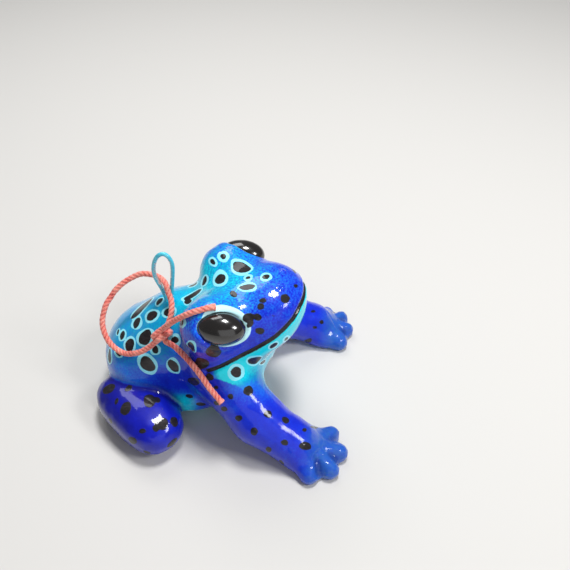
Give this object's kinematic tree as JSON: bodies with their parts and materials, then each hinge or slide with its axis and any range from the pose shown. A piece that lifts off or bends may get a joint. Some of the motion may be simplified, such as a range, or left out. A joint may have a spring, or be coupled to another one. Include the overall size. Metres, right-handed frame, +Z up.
{
  "type": "painted clay frog hanging ornament",
  "caption": "Small glossy hand-painted clay figure of a blue poison dart frog, sitting, with a wire hanging eye in its back and a knotted loop of thin string.",
  "frame": {"origin": "on the ground, under the middle of the figure's width and length, without the string", "axes": "+Y the way the frog faces, along its length; +X its right side; +Z up"},
  "size_m": [0.0534, 0.0606, 0.0403],
  "materials": {
    "clay_blue": "hand-painted cobalt blue under clear gloss varnish, with dark spots",
    "clay_turquoise": "hand-painted turquoise to cobalt under clear gloss varnish, with dark spots in pale rings",
    "eye_gloss": "glossy black paint",
    "painted_wire": "turquoise paint worn to pale metal",
    "string": "twisted coral string"
  },
  "bodies": {
    "root": {"front_leg_right": "clay_blue", "front_foot_right": "clay_blue", "hind_leg_right": "clay_blue", "hind_foot_right": "clay_blue", "front_leg_left": "clay_blue", "front_foot_left": "clay_blue", "hind_leg_left": "clay_blue", "hind_foot_left": "clay_blue", "head": "clay_turquoise", "lower_jaw": "clay_turquoise", "torso": "clay_turquoise", "eye_right": "eye_gloss", "eye_left": "eye_gloss", "wire_loop": "painted_wire", "cord_knot": "string", "cord_loop": "string", "cord_tail_upper": "string", "cord_tail_lower": "string"}
  },
  "joints": []
}
